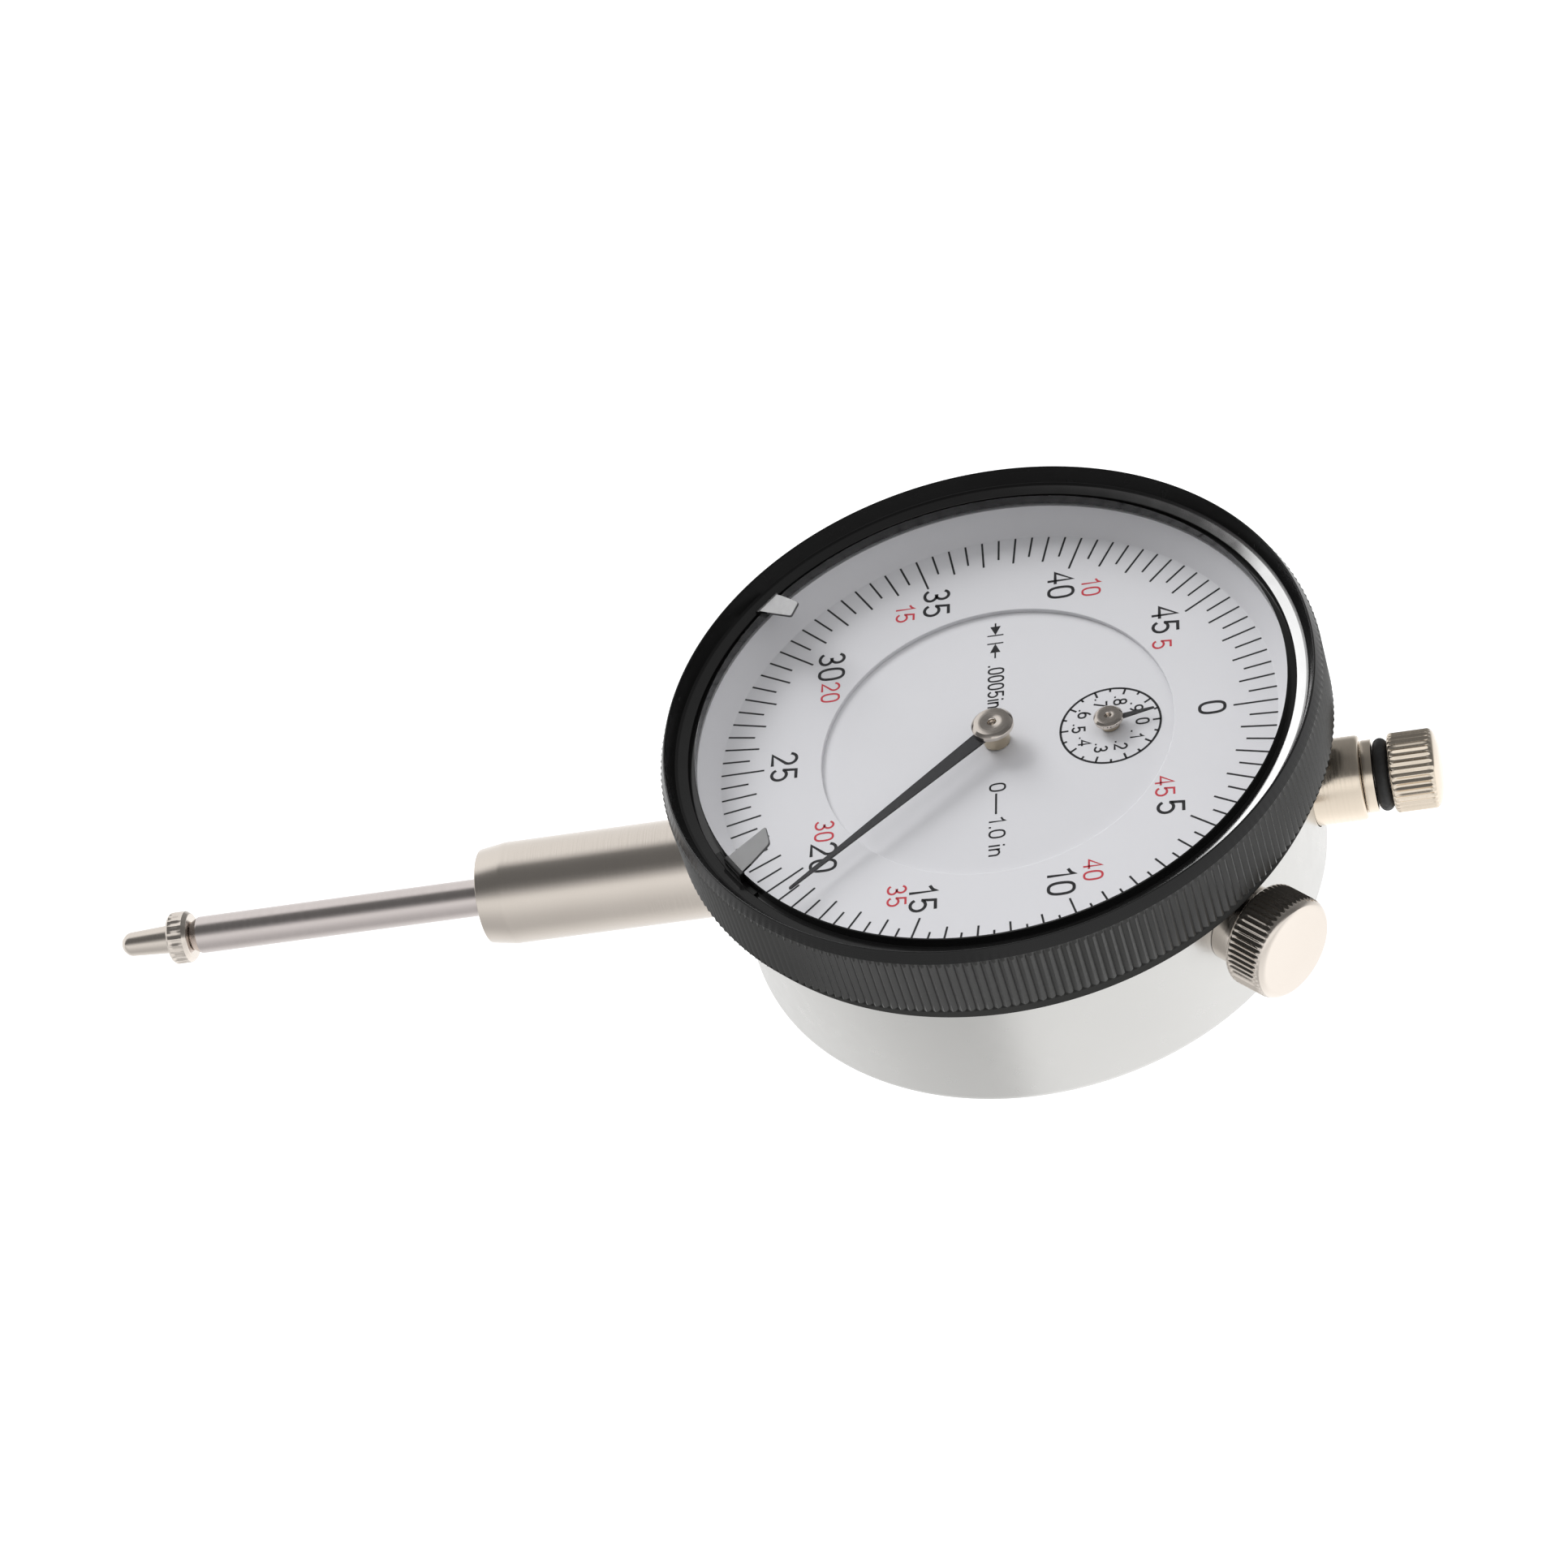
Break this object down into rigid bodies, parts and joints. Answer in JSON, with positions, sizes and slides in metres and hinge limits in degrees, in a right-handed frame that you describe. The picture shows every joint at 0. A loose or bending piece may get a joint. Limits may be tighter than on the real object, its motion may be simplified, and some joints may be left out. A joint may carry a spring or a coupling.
{
  "type": "dial indicator",
  "caption": "Dial indicator with a round turnable bezel, limit clips, revolution counter, sliding contact spindle, plain stem, clamp knob and a lug back.",
  "frame": {"origin": "centre of the round hole in the lug on the back, under the middle of the dial", "axes": "+Z out of the dial face, -X along the stem towards the contact point, +Y completes the right-handed set"},
  "size_m": [0.1253, 0.0602, 0.0403],
  "materials": {
    "satin_case": "satin lacquered",
    "nickel": "polished nickel",
    "brass": "turned",
    "steel": "ground",
    "black_bezel": "black, glossy on the bevel and satin on the knurl",
    "clear_crystal": "clear",
    "dial_white": "matt white with black and red print",
    "hand_grey": "dark grey",
    "rubber": "matt"
  },
  "bodies": {
    "case": {"case_cup": "satin_case", "back_cover": "satin_case", "back_screw_1": "steel", "back_screw_2": "steel", "back_screw_3": "steel", "back_screw_4": "steel", "stem": "nickel", "stem_bush": "brass", "top_sleeve": "nickel", "bezel_snap_ring": "steel", "clamp_collar": "nickel", "lower_plate": "brass", "upper_plate": "brass", "pillar_1": "brass", "pillar_2": "brass", "pillar_3": "brass", "plate_screw_1": "steel", "plate_screw_2": "steel", "plate_screw_3": "steel", "rack_bridge": "brass", "guide_rail": "steel", "spring_post": "steel", "return_spring": "steel", "hairspring_stud": "steel", "centre_dial": "dial_white", "bridge_screw_1": "steel", "bridge_screw_2": "steel", "rail_screw_1": "steel", "rail_screw_2": "steel"},
    "bezel": {"bezel_ring": "black_bezel", "crystal": "clear_crystal", "dial_ring": "dial_white"},
    "limit_clip_1": {"limit_clip_1": "steel"},
    "limit_clip_2": {"limit_clip_2": "steel"},
    "plunger": {"spindle": "nickel", "contact_point": "nickel", "guide_pin": "steel", "stop_washer": "nickel", "o_ring": "rubber", "crown_cap": "nickel"},
    "rack_arbor": {"rack_pinion": "steel", "drive_gear": "brass", "transfer_pinion": "steel"},
    "centre_arbor": {"centre_pinion": "steel", "main_hand": "hand_grey", "main_hub": "nickel"},
    "counter": {"counter_arbor": "steel", "counter_gear": "brass", "counter_hand": "hand_grey", "counter_hub": "nickel"},
    "takeup": {"takeup_arbor": "steel", "takeup_gear": "brass", "hairspring": "steel"},
    "clamp_knob": {"clamp_knob": "nickel"},
    "clamp_shoe": {"clamp_shoe": "brass"}
  },
  "joints": [
    {"name": "bezel_turn", "type": "hinge", "parent": "case", "child": "bezel", "pos_m": [0, 0, 0.02757], "axis": [0, 0, 1], "continuous": true},
    {"name": "limit_clip_1_slide", "type": "hinge", "parent": "bezel", "child": "limit_clip_1", "pos_m": [0, 0, 0.02757], "axis": [0, 0, 1], "range_deg": [-110, 25]},
    {"name": "limit_clip_2_slide", "type": "hinge", "parent": "bezel", "child": "limit_clip_2", "pos_m": [0, 0, 0.02757], "axis": [0, 0, 1], "range_deg": [-25, 110]},
    {"name": "plunger_travel", "type": "slide", "parent": "case", "child": "plunger", "axis": [1, 0, 0], "range_m": [0, 0.0254], "stiffness_N_per_m": 30, "springref_m": -0.02, "deforming": ["return_spring"]},
    {"name": "rack_arbor_spin", "type": "hinge", "parent": "case", "child": "rack_arbor", "pos_m": [0.0105, 0.00327, 0.0185], "axis": [0, 0, 1], "range_deg": [-2, 722]},
    {"name": "centre_arbor_spin", "type": "hinge", "parent": "case", "child": "centre_arbor", "pos_m": [0, 0, 0.0185], "axis": [0, 0, 1], "range_deg": [-7220, 20]},
    {"name": "counter_spin", "type": "hinge", "parent": "case", "child": "counter", "pos_m": [0.01029, 0, 0.0245], "axis": [0, 0, 1], "range_deg": [-361, 1]},
    {"name": "takeup_spin", "type": "hinge", "parent": "case", "child": "takeup", "pos_m": [-0.00606, 0.0035, 0.0205], "axis": [0, 0, 1], "range_deg": [-4, 1204], "deforming": ["hairspring"]},
    {"name": "clamp_knob_turn", "type": "hinge", "parent": "case", "child": "clamp_knob", "pos_m": [0.02311, -0.02066, 0.019], "axis": [0.7455, -0.6665, 0], "range_deg": [-1, 271]},
    {"name": "clamp_shoe_draw", "type": "slide", "parent": "case", "child": "clamp_shoe", "axis": [0.7455, -0.6665, 0], "range_m": [-0.000375, 0]}
  ],
  "couplings": [
    {"joint": "rack_arbor_spin", "follows": "plunger_travel", "rad_per_m": 494.74},
    {"joint": "centre_arbor_spin", "follows": "plunger_travel", "rad_per_m": -4947.4},
    {"joint": "counter_spin", "follows": "plunger_travel", "rad_per_m": -247.37},
    {"joint": "takeup_spin", "follows": "plunger_travel", "rad_per_m": 824.57},
    {"joint": "clamp_knob_turn", "follows": "clamp_shoe_draw", "rad_per_m": -12566}
  ]
}
